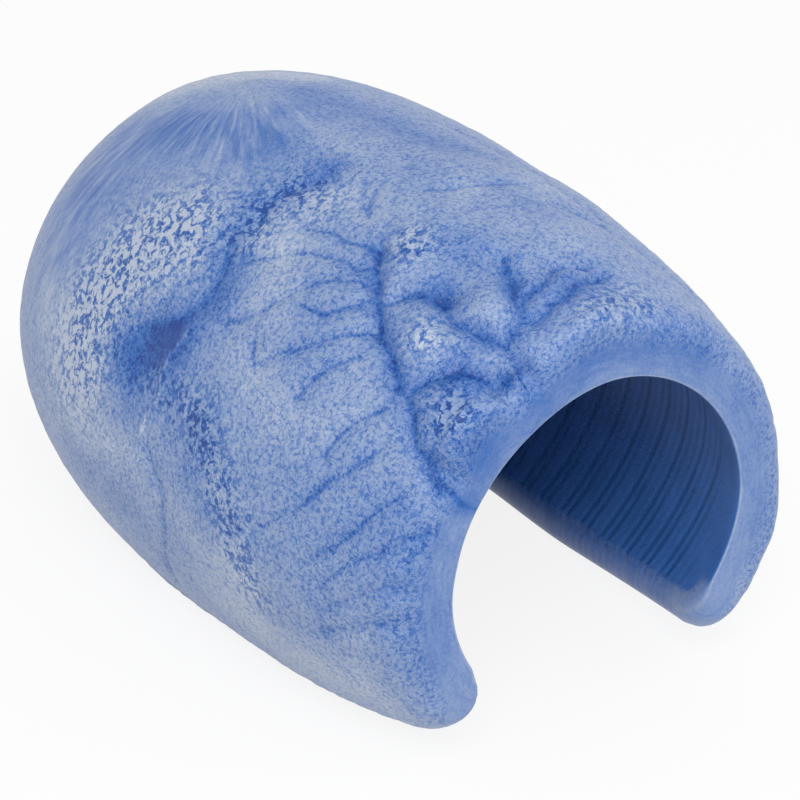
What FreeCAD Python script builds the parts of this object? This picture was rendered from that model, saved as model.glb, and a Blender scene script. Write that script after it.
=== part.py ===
"""Bubbling ornament: a cast hood shaped like a cut-open egg, with an air stone held inside its closed end.

Frame: millimetres, +Z up, the mouth faces -Y. The origin is at the bottom centre of the object's box.
Inside this file, "body frame" means the same directions with the origin on the hood's long axis,
at the station where its outline formula starts; PLACE moves every piece from there to the row frame.
"""
import FreeCAD, Part
import math
import os

V = FreeCAD.Vector
X_AXIS, Y_AXIS, Z_AXIS = V(1, 0, 0), V(0, 1, 0), V(0, 0, 1)

# ---- hood: outline of revolution about the long axis -------------------------------------------
HALF_LENGTH = 100.0     # outline's half length, along Y
HOOD_RADIUS = 56.3      # outline's radius at its middle station
FULLNESS = 2.77         # outline power: 2 is an ellipse, more is blunter at the ends
TAPER = 0.089           # how much fuller the closed end is than the mouth end
WALL = 10.5             # wall thickness, square to the surface
MOUTH_DEPTH = 63.0      # mouth plane, in front of the middle station
JAW_ANGLE = 51.5        # half angle of the open underside, from straight down
RIM_TURN = 28.0         # where the open underside starts to close, behind the middle station
FLOOR_DROP = 37.0       # the floor, below the long axis
MOUTH_FILLET = 2.0

# ---- air inlet through the closed end ------------------------------------------------------------
BUSH_FACE = 97.0        # bush's outer end, behind the middle station
BUSH_LENGTH = 13.0
BUSH_RADIUS = 9.5
BUSH_COUNTERBORE_RADIUS = 8.0
BUSH_WEB = 4.0          # the end wall that the grommet grips
BUSH_CHAMFER = 0.8
BOND_GAP = 0.1          # adhesive round a bonded piece
GROMMET_NECK_RADIUS = 5.0
GROMMET_FLANGE_RADIUS = 7.5
GROMMET_FLANGE = 1.5
BARREL_RADIUS = 3.0     # elbow's round barrel, which turns in the grommet
BARREL_CLEARANCE = 0.05
SPIGOT_RADIUS = 2.5     # takes air line of 5 mm bore
SPIGOT_LENGTH = 12.0
AIR_BORE_RADIUS = 1.5
SHOULDER_RADIUS = 5.0
SHOULDER = 1.5
LEG_REACH = 6.8         # from the bush's outer end to the elbow's upright leg
RING_GROOVE_RADIUS = 2.6
RING_GROOVE_CLEARANCE = 0.05
RING_RADIUS = 5.4
RING_THICKNESS = 0.8
END_PLAY = 0.3          # along the barrel, each side of the grommet

# ---- air stone cartridge -------------------------------------------------------------------------
STONE_RADIUS = 8.0
STONE_LENGTH = 38.0
STONE_BORE_DEPTH = 30.0
STONE_CHAMFER = 1.0
NIPPLE_CAP = 2.5        # thickness of the plastic cap on the stone's rear end
NIPPLE_CAP_RADIUS = 7.8
NIPPLE_PLUG = 10.0      # how far the nipple is glued into the stone
NIPPLE_PLUG_RADIUS = 2.5
NIPPLE_TAIL = 9.0
SLEEVE_WALL = 1.5
SLEEVE_CLEARANCE = 0.05 # radial, on the tails that it joins
SLEEVE_LENGTH = 16.5
TAIL_GAP = 2.0          # between the two tails inside the sleeve

# ---- cradle, screwed under two blocks bonded to the side walls -----------------------------------
CRADLE_SPAN = 64.0
CRADLE_WIDTH = 22.0
CRADLE_PLATE = 3.0
CRADLE_CORNER = 3.0
CLIP_WIDTH = 5.0
CLIP_SPACING = 15.0
CLIP_WALL = 2.0
CLIP_CLEARANCE = 0.2    # radial, round the stone
CLIP_MOUTH_ANGLE = 100.0
STONE_HEIGHT = 12.7     # stone's axis above the floor
BLOCK_INNER = 21.5      # block's free end, from the long axis
BLOCK_WIDTH = 16.0
BLOCK_THICKNESS = 11.0
SCREW_OFFSET = 27.0
SCREW_RADIUS = 1.5
SCREW_LENGTH = 9.0
SCREW_CLEARANCE = 0.2   # radial, in the washer and the plate
HEAD_RADIUS = 2.8
HEAD_HEIGHT = 2.0
DRIVE_RADIUS = 1.1
DRIVE_DEPTH = 1.1
WASHER_RADIUS = 3.5
WASHER = 0.5
INSERT_RADIUS = 2.3
INSERT_LENGTH = 6.0
THREAD_CLEARANCE = 0.02 # radial, screw in insert and insert in block

# ---- derived places, in the body frame -----------------------------------------------------------
STONE_Z = STONE_HEIGHT - FLOOR_DROP
PLATE_BOTTOM = STONE_Z + STONE_RADIUS + 2 * CLIP_CLEARANCE
PLATE_TOP = PLATE_BOTTOM + CRADLE_PLATE
BUSH_START = BUSH_FACE - BUSH_LENGTH
WEB_INNER = BUSH_FACE - BUSH_WEB
GROMMET_OUTER = BUSH_FACE + GROMMET_FLANGE
GROMMET_INNER = WEB_INNER - GROMMET_FLANGE
SHOULDER_START = GROMMET_OUTER + END_PLAY
LEG_Y = BUSH_FACE + LEG_REACH
RING_END = GROMMET_INNER - END_PLAY
RING_START = RING_END - RING_THICKNESS
SLEEVE_END = RING_START - 2 * END_PLAY
SLEEVE_START = SLEEVE_END - SLEEVE_LENGTH
ELBOW_TAIL_START = SLEEVE_START + (SLEEVE_LENGTH + TAIL_GAP) / 2
NIPPLE_TAIL_END = ELBOW_TAIL_START - TAIL_GAP
NIPPLE_FACE = NIPPLE_TAIL_END - NIPPLE_TAIL
STONE_END = NIPPLE_FACE - NIPPLE_CAP
STONE_START = STONE_END - STONE_LENGTH
CRADLE_STATION = (STONE_START + STONE_END) / 2
BOX_REAR = LEG_Y + BARREL_RADIUS
PLACE = V(0, (MOUTH_DEPTH - BOX_REAR) / 2, FLOOR_DROP)


def outline(station):
    """Hood's outer radius at a station along the long axis."""
    share = station / HALF_LENGTH
    return HOOD_RADIUS * math.sqrt(max(0.0, 1 - abs(share) ** FULLNESS)) * (1 + TAPER * share)


def profile_points(inset, first_station):
    """Outline below the axis, from first_station to the closed end, moved inwards by inset."""
    count = 16
    step = 0.01
    first = math.asin(first_station / HALF_LENGTH)
    points = []
    for i in range(count):
        station = HALF_LENGTH * math.sin(first + (math.pi / 2 - first) * i / count)
        slope = (outline(station + step) - outline(station - step)) / (2 * step)
        length = math.hypot(slope, 1)
        points.append(V(0, station + inset * slope / length, inset / length - outline(station)))
    points.append(V(0, HALF_LENGTH - inset, 0))
    return points


def body_of_revolution(inset, first_station):
    """Solid of revolution about the long axis, flat at its first station and closed at the far end."""
    points = profile_points(inset, first_station)
    lead = points[1] - points[0]
    curve = Part.BSplineCurve()
    curve.interpolate(Points=points, InitialTangent=lead.normalize(), FinalTangent=Z_AXIS)
    start, end = points[0], points[-1]
    front = V(0, start.y, 0)
    wire = Part.Wire([Part.makeLine(front, start), curve.toShape(), Part.makeLine(end, front)])
    return Part.Face(wire).revolve(V(0, 0, 0), Y_AXIS, 360)


def cavity():
    return body_of_revolution(WALL, -MOUTH_DEPTH - WALL)


def rod(radius, start, end, height=0.0):
    """Cylinder along Y between two stations, at a height above the long axis."""
    return Part.makeCylinder(radius, end - start, V(0, start, height), Y_AXIS)


def post(radius, x, bottom, top):
    """Upright cylinder at the cradle's station."""
    return Part.makeCylinder(radius, top - bottom, V(x, CRADLE_STATION, bottom), Z_AXIS)


def block(x0, x1, y0, y1, z0, z1):
    return Part.makeBox(x1 - x0, y1 - y0, z1 - z0, V(x0, y0, z0))


def both_sides(shape):
    """The shape and its mirror image across X = 0, as one compound."""
    return Part.makeCompound([shape, shape.mirror(V(0, 0, 0), X_AXIS)])


def underside_cutter():
    """V-shaped prism below the axis, ended by a cone, so that the rim turns round the closed end.

    Its sides stand square to the wall; the legs' rounded ends just touch them."""
    reach = 3 * HOOD_RADIUS
    apex = (WALL / 2) / math.sin(math.radians(JAW_ANGLE))
    half_width = (reach - apex) * math.tan(math.radians(JAW_ANGLE))
    front = -MOUTH_DEPTH - WALL
    corners = [V(0, front, -apex), V(half_width, front, -reach), V(-half_width, front, -reach)]
    prism = Part.Face(Part.makePolygon(corners + corners[:1])).extrude(V(0, RIM_TURN - front, 0))
    cone = Part.makeCone(0, half_width, reach - apex, V(0, RIM_TURN, -apex), -Z_AXIS)
    return prism.fuse(cone)


def mouth_edges(shape):
    """Edges round the mouth's flat face: both arches and the two leg ends."""
    found = []
    for edge in shape.Edges:
        box = edge.BoundBox
        if box.YMax - box.YMin < 0.01 and abs(box.YMin + MOUTH_DEPTH) < 0.01:
            found.append(edge)
    return found


def hood():
    """Cast shell: open at the mouth and below, closed behind, with one round hole for the inlet."""
    reach = 3 * HOOD_RADIUS
    shell = body_of_revolution(0, -MOUTH_DEPTH).cut(cavity())
    shell = shell.cut(underside_cutter())
    shell = shell.cut(block(-reach, reach, -reach, reach, -reach, -FLOOR_DROP))
    shell = shell.makeFillet(MOUTH_FILLET, mouth_edges(shell))
    return shell.cut(rod(BUSH_RADIUS + BOND_GAP, 0, BUSH_FACE + WALL, STONE_Z))


def inlet_bush():
    """Moulded bush bonded into the hood's rear hole; its end wall carries the grommet."""
    bush = rod(BUSH_RADIUS, BUSH_START, BUSH_FACE, STONE_Z)
    rim = [e for e in bush.Edges if e.BoundBox.YMin > BUSH_FACE - BUSH_CHAMFER]
    bush = bush.makeChamfer(BUSH_CHAMFER, rim)
    bush = bush.cut(rod(BUSH_COUNTERBORE_RADIUS, BUSH_START, WEB_INNER, STONE_Z))
    return bush.cut(rod(GROMMET_NECK_RADIUS, WEB_INNER, BUSH_FACE, STONE_Z))


def inlet_grommet():
    """Rubber grommet: a neck in the bush's end wall between two flanges."""
    shape = rod(GROMMET_NECK_RADIUS, WEB_INNER, BUSH_FACE, STONE_Z)
    shape = shape.fuse(rod(GROMMET_FLANGE_RADIUS, BUSH_FACE, GROMMET_OUTER, STONE_Z))
    shape = shape.fuse(rod(GROMMET_FLANGE_RADIUS, GROMMET_INNER, WEB_INNER, STONE_Z))
    return shape.cut(rod(BARREL_RADIUS + BARREL_CLEARANCE, GROMMET_INNER, GROMMET_OUTER, STONE_Z))


def inlet_elbow():
    """Moulded elbow: barrel with shoulder and ring groove, round corner, upright hose spigot."""
    corner = V(0, LEG_Y, STONE_Z)
    spigot_root = STONE_Z + BARREL_RADIUS + 1.0
    spigot_end = spigot_root + SPIGOT_LENGTH
    shape = rod(BARREL_RADIUS, ELBOW_TAIL_START, LEG_Y, STONE_Z)
    shape = shape.fuse(rod(SHOULDER_RADIUS, SHOULDER_START, SHOULDER_START + SHOULDER, STONE_Z))
    shape = shape.fuse(Part.makeSphere(BARREL_RADIUS, corner))
    shape = shape.fuse(Part.makeCylinder(BARREL_RADIUS, spigot_root - STONE_Z, corner, Z_AXIS))
    shape = shape.fuse(Part.makeCylinder(SPIGOT_RADIUS, spigot_end - STONE_Z, corner, Z_AXIS))
    groove = rod(2 * BARREL_RADIUS, RING_START - RING_GROOVE_CLEARANCE,
                 RING_END + RING_GROOVE_CLEARANCE, STONE_Z)
    groove = groove.cut(rod(RING_GROOVE_RADIUS, RING_START - 1, RING_END + 1, STONE_Z))
    shape = shape.cut(groove)
    shape = shape.cut(rod(AIR_BORE_RADIUS, ELBOW_TAIL_START, LEG_Y, STONE_Z))
    shape = shape.cut(Part.makeCylinder(AIR_BORE_RADIUS, spigot_end - STONE_Z, corner, Z_AXIS))
    return shape.cut(Part.makeSphere(AIR_BORE_RADIUS, corner))


def elbow_retaining_ring():
    """Split ring snapped into the elbow's groove, inside the bush."""
    inner = RING_GROOVE_RADIUS + RING_GROOVE_CLEARANCE
    ring = rod(RING_RADIUS, RING_START, RING_END, STONE_Z)
    ring = ring.cut(rod(inner, RING_START, RING_END, STONE_Z))
    gap = 2 * inner * math.cos(math.radians(30))
    return ring.cut(block(-gap / 2, gap / 2, RING_START, RING_END, STONE_Z - RING_RADIUS, STONE_Z))


def coupling_sleeve():
    """Soft sleeve that joins the elbow's tail to the air stone's nipple."""
    bore = BARREL_RADIUS + SLEEVE_CLEARANCE
    sleeve = rod(bore + SLEEVE_WALL, SLEEVE_START, SLEEVE_END, STONE_Z)
    return sleeve.cut(rod(bore, SLEEVE_START, SLEEVE_END, STONE_Z))


def stone_nipple():
    """Plastic end cap with a plug glued into the stone and a tail that the sleeve grips."""
    shape = rod(NIPPLE_CAP_RADIUS, STONE_END, NIPPLE_FACE, STONE_Z)
    shape = shape.fuse(rod(NIPPLE_PLUG_RADIUS, STONE_END - NIPPLE_PLUG, STONE_END, STONE_Z))
    shape = shape.fuse(rod(BARREL_RADIUS, NIPPLE_FACE, NIPPLE_TAIL_END, STONE_Z))
    return shape.cut(rod(AIR_BORE_RADIUS, STONE_END - NIPPLE_PLUG, NIPPLE_TAIL_END, STONE_Z))


def air_stone():
    """Sintered porous cylinder, bored from its rear end and closed in front."""
    stone = rod(STONE_RADIUS, STONE_START, STONE_END, STONE_Z)
    ends = [e for e in stone.Edges if e.BoundBox.YMax - e.BoundBox.YMin < 0.01]
    stone = stone.makeChamfer(STONE_CHAMFER, ends)
    bore = NIPPLE_PLUG_RADIUS + THREAD_CLEARANCE
    return stone.cut(rod(bore, STONE_END - STONE_BORE_DEPTH, STONE_END, STONE_Z))


def stone_cradle():
    """Moulded bridge plate with two spring clips below it, which the stone slides through."""
    half_span, half_width = CRADLE_SPAN / 2, CRADLE_WIDTH / 2
    plate = block(-half_span, half_span, CRADLE_STATION - half_width, CRADLE_STATION + half_width,
                  PLATE_BOTTOM, PLATE_TOP)
    corners = [e for e in plate.Edges if e.BoundBox.ZMax - e.BoundBox.ZMin > CRADLE_PLATE / 2]
    shape = plate.makeFillet(CRADLE_CORNER, corners)
    bore = STONE_RADIUS + CLIP_CLEARANCE
    half_mouth = bore * math.tan(math.radians(CLIP_MOUTH_ANGLE / 2))
    for side in (-1, 1):
        middle = CRADLE_STATION + side * CLIP_SPACING / 2
        start, end = middle - CLIP_WIDTH / 2, middle + CLIP_WIDTH / 2
        ring = rod(bore + CLIP_WALL, start, end, STONE_Z)
        reach = 2 * (bore + CLIP_WALL)
        points = [V(0, start, STONE_Z), V(reach * half_mouth / bore, start, STONE_Z - reach),
                  V(-reach * half_mouth / bore, start, STONE_Z - reach)]
        mouth = Part.Face(Part.makePolygon(points + points[:1])).extrude(V(0, end - start, 0))
        ring = ring.cut(rod(bore, start, end, STONE_Z)).cut(mouth)
        above = block(-reach, reach, start, end, PLATE_TOP, STONE_Z + reach)
        shape = shape.fuse(ring.cut(above))
    for x in (-SCREW_OFFSET, SCREW_OFFSET):
        shape = shape.cut(post(SCREW_RADIUS + SCREW_CLEARANCE, x, PLATE_BOTTOM - 1, PLATE_TOP + 1))
    return shape


def cradle_blocks():
    """Two cast blocks bonded to the side walls, each bored from below for a threaded insert."""
    half = BLOCK_WIDTH / 2
    body = block(BLOCK_INNER, HOOD_RADIUS, CRADLE_STATION - half, CRADLE_STATION + half,
                 PLATE_TOP, PLATE_TOP + BLOCK_THICKNESS)
    body = body.common(body_of_revolution(WALL, -MOUTH_DEPTH))
    body = body.cut(post(INSERT_RADIUS + THREAD_CLEARANCE, SCREW_OFFSET, PLATE_TOP,
                         PLATE_TOP + INSERT_LENGTH))
    body = body.cut(post(SCREW_RADIUS + SCREW_CLEARANCE, SCREW_OFFSET, PLATE_TOP,
                         PLATE_TOP + INSERT_LENGTH + 1.5))
    return both_sides(body)


def cradle_inserts():
    body = post(INSERT_RADIUS, SCREW_OFFSET, PLATE_TOP, PLATE_TOP + INSERT_LENGTH)
    return both_sides(body.cut(post(SCREW_RADIUS + THREAD_CLEARANCE, SCREW_OFFSET, PLATE_TOP,
                                    PLATE_TOP + INSERT_LENGTH)))


def cradle_washers():
    body = post(WASHER_RADIUS, SCREW_OFFSET, PLATE_BOTTOM - WASHER, PLATE_BOTTOM)
    return both_sides(body.cut(post(SCREW_RADIUS + SCREW_CLEARANCE, SCREW_OFFSET,
                                    PLATE_BOTTOM - WASHER, PLATE_BOTTOM)))


def cradle_screws():
    """Two pan-head screws with hexagon sockets, driven up from below."""
    seat = PLATE_BOTTOM - WASHER
    body = post(SCREW_RADIUS, SCREW_OFFSET, seat, seat + SCREW_LENGTH)
    head = post(HEAD_RADIUS, SCREW_OFFSET, seat - HEAD_HEIGHT, seat)
    rim = [e for e in head.Edges if e.BoundBox.ZMax < seat - HEAD_HEIGHT / 2]
    head = head.makeFillet(HEAD_HEIGHT / 3, rim)
    corners = []
    for i in range(7):
        turn = math.radians(60 * i)
        corners.append(V(SCREW_OFFSET + DRIVE_RADIUS * math.cos(turn),
                         CRADLE_STATION + DRIVE_RADIUS * math.sin(turn), seat - HEAD_HEIGHT))
    socket = Part.Face(Part.makePolygon(corners)).extrude(V(0, 0, DRIVE_DEPTH))
    return both_sides(body.fuse(head).cut(socket))


NODES = {
    "hood": hood,
    "inlet_bush": inlet_bush,
    "inlet_grommet": inlet_grommet,
    "inlet_elbow": inlet_elbow,
    "elbow_retaining_ring": elbow_retaining_ring,
    "coupling_sleeve": coupling_sleeve,
    "stone_nipple": stone_nipple,
    "air_stone": air_stone,
    "cradle_blocks": cradle_blocks,
    "cradle_inserts": cradle_inserts,
    "stone_cradle": stone_cradle,
    "cradle_washers": cradle_washers,
    "cradle_screws": cradle_screws,
}

os.makedirs("parts", exist_ok=True)
for name, make in NODES.items():
    shape = make()
    shape.translate(PLACE)
    shape.exportStep("parts/" + name + ".step")
    box = shape.BoundBox
    print(name, "solids", len(shape.Solids), "valid", shape.isValid(), "volume", round(shape.Volume, 1),
          "x", round(box.XMin, 2), round(box.XMax, 2), "y", round(box.YMin, 2), round(box.YMax, 2),
          "z", round(box.ZMin, 2), round(box.ZMax, 2))
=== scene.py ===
import math

import bpy
import numpy as np
from mathutils import Matrix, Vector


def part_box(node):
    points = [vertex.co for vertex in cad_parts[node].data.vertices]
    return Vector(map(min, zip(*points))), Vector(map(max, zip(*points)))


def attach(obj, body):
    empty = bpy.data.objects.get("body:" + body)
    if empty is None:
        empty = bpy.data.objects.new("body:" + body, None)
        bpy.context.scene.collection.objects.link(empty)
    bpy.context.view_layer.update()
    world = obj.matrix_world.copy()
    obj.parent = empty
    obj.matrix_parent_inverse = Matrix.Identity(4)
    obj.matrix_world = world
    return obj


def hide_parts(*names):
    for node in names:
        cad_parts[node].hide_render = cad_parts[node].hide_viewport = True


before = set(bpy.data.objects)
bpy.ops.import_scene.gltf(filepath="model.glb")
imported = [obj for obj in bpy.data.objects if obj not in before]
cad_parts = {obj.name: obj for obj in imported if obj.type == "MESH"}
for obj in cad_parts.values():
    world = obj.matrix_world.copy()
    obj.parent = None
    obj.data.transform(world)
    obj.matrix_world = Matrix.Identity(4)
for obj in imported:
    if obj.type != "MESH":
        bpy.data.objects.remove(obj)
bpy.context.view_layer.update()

# ---- Hood: one thick casting in stone-filled resin, an egg cut off flat at the mouth and open below.
# ---- The face and the wrinkles are in the mould. The caster rubs a dark blue wash into the low places
# ---- and dry-brushes the high ones pale; painted shade darkens creases too, and a painted highlight lines
# the mouth's inner edge.

MM = 0.001                   # the hood's sizes are in millimetres, from the egg's middle station
HALF_LENGTH = 100.0          # of the egg's outline, along Y
RADIUS = 55.75               # at the middle station, which lies behind the mouth by MOUTH
MOUTH = 63.0
FULLNESS = 2.774             # outline's power along Y: 2 is an ellipse, more is blunter
TAPER = 0.089                # share by which the rear is wider and the front narrower
SQUARENESS = 1.875           # section's power: 2 is a circle
WALL_AT_MOUTH = 11.1
INNER_END = 89.5             # the cavity's rear end
INNER_FULLNESS = 2.9
FLOOR_DROP = 37.0            # the floor, below the egg's axis
JAW = 50.2                   # half angle of the open underside at the middle, from straight down
JAW_TURN = 0.0365            # degrees that it opens for each millimetre forwards
TURN = 28.0                  # where the rim starts to close behind
hood_low, hood_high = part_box("hood")
MIDDLE = (0.0, hood_low.y / MM + MOUTH, hood_low.z / MM + FLOOR_DROP)


def smooth(low, high, x):
    """0 at low and beyond, 1 at high and beyond, 3s^2 - 2s^3 between."""
    s = np.clip((x - low) / (high - low), 0, 1)
    return s * s * (3 - 2 * s)


def outer_radius(y):
    """Half the egg's width at a station: R sqrt(1 - |y/L|^p) (1 + k y/L)."""
    share = y / HALF_LENGTH
    return RADIUS * np.sqrt(np.clip(1 - np.abs(share) ** FULLNESS, 0, None)) * (1 + TAPER * share)


def inner_radius(y):
    """Half the cavity's width: in front the outer one less the wall, behind a shorter egg's own."""
    front = outer_radius(y) - WALL_AT_MOUTH
    share = np.clip(y, 0, None) / INNER_END
    rear = (RADIUS - WALL_AT_MOUTH) * np.sqrt(np.clip(1 - share ** INNER_FULLNESS, 0, None))
    return np.where(y < 0, front, rear * (1 + TAPER * y / HALF_LENGTH))


def section(angle, radius):
    """Superellipse |x/r|^n + |z/r|^n = 1 at an angle in degrees from straight up, towards +X."""
    s, c = np.sin(np.radians(angle)), np.cos(np.radians(angle))
    r = radius * (np.abs(s) ** SQUARENESS + np.abs(c) ** SQUARENESS) ** (-1 / SQUARENESS)
    return r * s, r * c


def edge_angle(y):
    """Angle from straight up at which the wall ends, left and right."""
    return 180 - JAW + JAW_TURN * y


# Lines of the relief, each a run of (degrees from the top, millimetres from the middle station): the
# deep folds of snout, lips and chin, the brow's edge, the skin's wrinkles and the cracks by the mouth.
CREASES = [
    [(-24, -22), (-30, -27), (-34, -32), (-38, -36), (-41, -42), (-45, -46), (-45, -49)],
    [(-45, -49), (-49, -52), (-53, -56), (-56, -61), (-59, -67), (-60, -74)],
    [(-34, -32), (-29, -34), (-25, -37), (-24, -40)],
    [(-24, -40), (-27, -44), (-26, -50), (-23, -55)],
    [(-9, -41), (-12, -47), (-15, -51), (-17, -54), (-23, -55)],
    [(-17, -54), (-14, -55), (-7, -54), (0, -52), (6, -51)],
    [(-15, -51), (-9, -50), (-4, -48), (1, -46), (6, -48)],
    [(-44, -49), (-40, -50), (-37, -51), (-34, -53), (-32, -58), (-28, -60)],
    [(-23, -55), (-24, -58), (-26, -64)],
]
BROW = [[(-19, 3), (-27, 7), (-34, 6), (-39, 7), (-46, 3), (-53, 3), (-59, 6), (-64, 15)]]
WRINKLES = [
    [(-54, -5), (-48, -11), (-39, -16), (-34, -20), (-31, -28)],
    [(-41, 0), (-36, -6), (-32, -12), (-30, -22)],
    [(-29, -5), (-27, -12), (-25, -23)],
    [(-42, -18), (-42, -24), (-35, -29)],
    [(-53, -14), (-57, -17), (-51, -23), (-46, -28), (-38, -35)],
    [(-58, -30), (-49, -32), (-44, -36)],
    [(-15, -6), (-20, -13), (-14, -9)],
    [(-27, -14), (-24, -22)],
    [(-8, -15), (-2, -18), (5, -19), (12, -21)],
    [(-84, 5), (-91, -2), (-101, 0), (-110, 4), (-121, 8)],
    [(-65, -40), (-56, -43), (-50, -46)],
    [(-66, -46), (-57, -50)],
    [(-85, -30), (-78, -38), (-66, -45)],
    [(-88, -42), (-75, -52), (-64, -57)],
    [(-91, -46), (-82, -53), (-72, -61), (-69, -65)],
    [(-95, -48), (-87, -56), (-83, -63)],
    [(-104, -44), (-97, -53), (-91, -64)],
    [(20, 10), (24, -4), (22, -18), (27, -32)],
    [(14, -28), (24, -34), (32, -44), (40, -50)],
    [(38, 8), (46, -8), (44, -22), (52, -36), (50, -52)],
    [(60, -18), (66, -30), (64, -42)],
    [(80, 12), (84, -6), (92, -20), (90, -38)],
    [(104, -10), (100, -26), (108, -44)],
    [(40, -8), (58, -14), (74, -10)],
]
RIM_CRACKS = [
    [(-58, -63), (-68, -62), (-77, -63), (-83, -64), (-90, -64), (-100, -65), (-110, -65)],
    [(30, -57), (31, -66)], [(43, -58), (41, -65)], [(62, -60), (63, -67)], [(82, -59), (80, -66)],
    [(93, -58), (94, -64)], [(105, -60), (106, -67)], [(-66, -66), (-84, -67), (-97, -66)],
]
EYELID = [[(-59, 3), (-65, 5), (-73, 4), (-82, 6)]]
NOSE = [[(-6, 45), (-12, 18), (-11, 2), (-12, -15), (-10, -29), (-7, -40)]]
LEAST_REACH = 20.0           # radius that angles are measured on where the egg is thinner than this
WANDER = 0.35                # how far a line strays to either side, so that none looks ruled
FAR_OFF = 60.0


def reach_at(y):
    """Millimetres over the surface for one degree of turn."""
    return np.radians(1) * np.maximum(outer_radius(y), LEAST_REACH)


def distance(angle, y, lines):
    """Least distance in millimetres over the surface from each point, strayed by two slow sines, to
    any of the lines."""
    reach = reach_at(y)
    u = angle * reach + WANDER * np.sin(0.8 * y + 0.2 * angle)
    v = y + WANDER * np.sin(0.6 * angle + 0.4 * y)
    least = np.full(u.shape, FAR_OFF)
    for line in lines:
        for (a0, y0), (a1, y1) in zip(line, line[1:]):
            du, dv = (a1 - a0) * reach, y1 - y0
            along = ((u - a0 * reach) * du + (v - y0) * dv) / (du * du + dv * dv)
            along = np.clip(along, 0, 1)
            gap = np.hypot(u - a0 * reach - along * du, v - y0 - along * dv)
            least = np.minimum(least, gap)
    return least


def stroke(angle, y, line, width):
    """Bell of height 1 along a line or round a point, falling to 1/e at width millimetres."""
    run = line if isinstance(line, list) else [line, (line[0] + 0.01, line[1])]
    return np.exp(-(distance(angle, y, [run]) / width) ** 2)


def total(angle, y, strokes):
    """Sum of strokes, each times its amount."""
    return sum(amount * stroke(angle, y, line, width) for line, width, amount in strokes)


# Place or line, spread, height in millimetres: snout, nose tip, lips, cheek, brow, eye sockets.
LUMPS = [
    ((-20, -27), 7.0, 1.3), ((-19, -48), 5.0, 2.0), ((-34, -43), 5.5, 1.5), ((-43, -58), 7.0, 1.6),
    ((-5, -60), 8.0, 1.3), ([(-8, -49), (0, -50)], 2.2, 0.9), ((-24, -40), 2.2, -1.4),
    ((-50, -25), 13.0, 0.8), ((-44, 20), 13.0, 0.8), ((-69, 12), 7.0, -1.2), ((-70, -14), 9.0, 0.6),
    ([(12, -14), (28, -18)], 11.0, 0.9), ((44, 14), 12.0, 0.5), ((62, 10), 7.0, -1.0),
    ((-31, -57), 2.5, -1.0), ([(4, 22), (6, 2), (14, -8)], 4.5, -0.6), ((10, -38), 7.0, 0.6),
    ([(104, -58), (122, -56)], 9.0, 1.0), ((-129, -60), 8.0, 0.2), ((-14, 66), 10.0, 0.7),
]
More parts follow.
